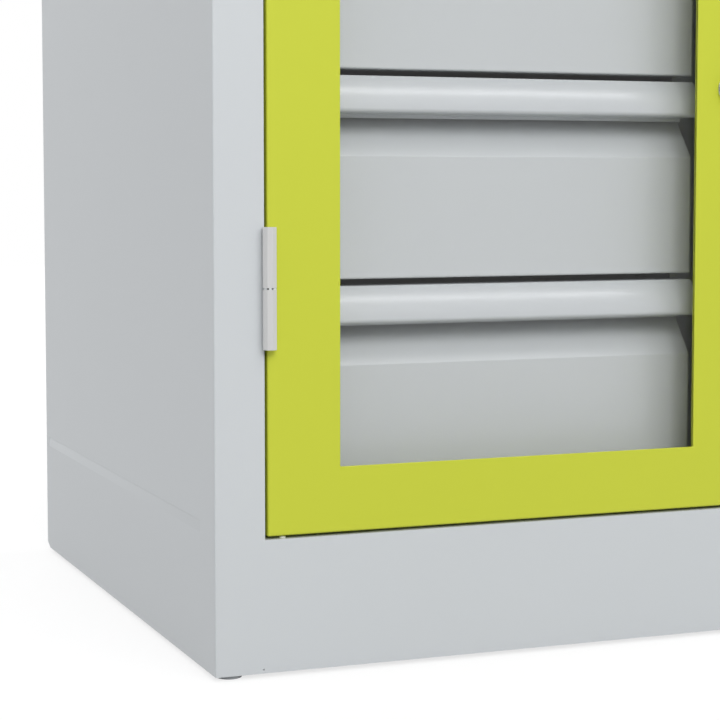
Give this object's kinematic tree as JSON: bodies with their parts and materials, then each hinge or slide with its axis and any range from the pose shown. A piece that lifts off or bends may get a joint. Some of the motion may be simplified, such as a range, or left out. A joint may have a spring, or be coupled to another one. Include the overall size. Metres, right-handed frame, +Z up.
{
  "type": "reagent drawer cabinet",
  "caption": "Low lab cabinet with a framed window door on lift-off hinges and full-width grip drawers on telescopic runners behind it.",
  "frame": {"origin": "on the floor, under the middle of the part's bounding box", "axes": "+Z up, the front with the door faces -Y, +X to the viewer's right when facing the door"},
  "size_m": [0.44, 0.5097, 0.72],
  "materials": {
    "body_paint": "pale grey powder coat, semi-matt",
    "door_paint": "lime green powder coat, semi-matt",
    "drawer_paint": "light grey powder coat, semi-matt",
    "grip_paint": "light grey paint over an extruded profile, satin",
    "hinge_paint": "light grey paint, satin",
    "zinc_steel": "bright zinc plating",
    "black_rubber": "matt black rubber",
    "glide_plastic": "grey moulded plastic",
    "button_plastic": "pale moulded plastic",
    "knob_plastic": "black moulded plastic, fine grain",
    "clear_pane": "clear polished pane"
  },
  "bodies": {
    "cabinet": {"front_frame": "body_paint", "left_side_wall": "body_paint", "right_side_wall": "body_paint", "back_panel": "body_paint", "top_panel": "body_paint", "floor_panel": "body_paint", "left_runner_posts": "zinc_steel", "right_runner_posts": "zinc_steel", "foot_plates": "zinc_steel", "corner_glides": "glide_plastic", "door_slide_button": "button_plastic", "door_bumpers": "black_rubber", "lower_hinge_body_leaf": "hinge_paint", "upper_hinge_body_leaf": "hinge_paint", "hinge_pins": "zinc_steel", "hinge_washers": "black_rubber", "drawer_1_runner_outer": "zinc_steel", "drawer_2_runner_outer": "zinc_steel", "drawer_3_runner_outer": "zinc_steel", "drawer_4_runner_outer": "zinc_steel"},
    "door": {"door_frame": "door_paint", "window_pane": "clear_pane", "pane_gasket": "black_rubber", "pane_clamp_frame": "door_paint", "clamp_studs": "zinc_steel", "lower_hinge_door_leaf": "hinge_paint", "upper_hinge_door_leaf": "hinge_paint", "latch_housing": "zinc_steel", "latch_nut": "zinc_steel"},
    "latch": {"latch_knob": "knob_plastic", "latch_cam": "zinc_steel", "cam_screw": "zinc_steel"},
    "drawer_1": {"drawer_1_front": "drawer_paint", "drawer_1_grip": "grip_paint", "drawer_1_grip_caps": "grip_paint", "drawer_1_tray": "drawer_paint", "drawer_1_liner": "black_rubber", "drawer_1_runner_inner": "zinc_steel"},
    "runner_1": {"drawer_1_runner_middle": "zinc_steel"},
    "drawer_2": {"drawer_2_front": "drawer_paint", "drawer_2_grip": "grip_paint", "drawer_2_grip_caps": "grip_paint", "drawer_2_tray": "drawer_paint", "drawer_2_liner": "black_rubber", "drawer_2_runner_inner": "zinc_steel"},
    "runner_2": {"drawer_2_runner_middle": "zinc_steel"},
    "drawer_3": {"drawer_3_front": "drawer_paint", "drawer_3_grip": "grip_paint", "drawer_3_grip_caps": "grip_paint", "drawer_3_tray": "drawer_paint", "drawer_3_liner": "black_rubber", "drawer_3_runner_inner": "zinc_steel"},
    "runner_3": {"drawer_3_runner_middle": "zinc_steel"},
    "drawer_4": {"drawer_4_front": "drawer_paint", "drawer_4_grip": "grip_paint", "drawer_4_grip_caps": "grip_paint", "drawer_4_tray": "drawer_paint", "drawer_4_liner": "black_rubber", "drawer_4_runner_inner": "zinc_steel"},
    "runner_4": {"drawer_4_runner_middle": "zinc_steel"}
  },
  "joints": [
    {"name": "door_swing", "type": "hinge", "parent": "cabinet", "child": "door", "pos_m": [-0.184, -0.25015, 0.3885], "axis": [0, 0, -1], "range_deg": [0, 180]},
    {"name": "latch_turn", "type": "hinge", "parent": "door", "child": "latch", "pos_m": [0.161, -0.24515, 0.3885], "axis": [0, 1, 0], "range_deg": [0, 90]},
    {"name": "drawer_1_slide", "type": "slide", "parent": "cabinet", "child": "drawer_1", "axis": [0, -1, 0], "range_m": [0, 0.4]},
    {"name": "runner_1_slide", "type": "slide", "parent": "cabinet", "child": "runner_1", "axis": [0, -1, 0], "range_m": [0, 0.2]},
    {"name": "drawer_2_slide", "type": "slide", "parent": "cabinet", "child": "drawer_2", "axis": [0, -1, 0], "range_m": [0, 0.4]},
    {"name": "runner_2_slide", "type": "slide", "parent": "cabinet", "child": "runner_2", "axis": [0, -1, 0], "range_m": [0, 0.2]},
    {"name": "drawer_3_slide", "type": "slide", "parent": "cabinet", "child": "drawer_3", "axis": [0, -1, 0], "range_m": [0, 0.4]},
    {"name": "runner_3_slide", "type": "slide", "parent": "cabinet", "child": "runner_3", "axis": [0, -1, 0], "range_m": [0, 0.2]},
    {"name": "drawer_4_slide", "type": "slide", "parent": "cabinet", "child": "drawer_4", "axis": [0, -1, 0], "range_m": [0, 0.4]},
    {"name": "runner_4_slide", "type": "slide", "parent": "cabinet", "child": "runner_4", "axis": [0, -1, 0], "range_m": [0, 0.2]}
  ],
  "couplings": [
    {"joint": "drawer_1_slide", "follows": "door_swing", "m_per_rad": 0.03},
    {"joint": "runner_1_slide", "follows": "door_swing", "m_per_rad": 0.015},
    {"joint": "drawer_2_slide", "follows": "door_swing", "m_per_rad": 0.03},
    {"joint": "runner_2_slide", "follows": "door_swing", "m_per_rad": 0.015},
    {"joint": "drawer_3_slide", "follows": "door_swing", "m_per_rad": 0.03},
    {"joint": "runner_3_slide", "follows": "door_swing", "m_per_rad": 0.015},
    {"joint": "drawer_4_slide", "follows": "door_swing", "m_per_rad": 0.03},
    {"joint": "runner_4_slide", "follows": "door_swing", "m_per_rad": 0.015}
  ]
}
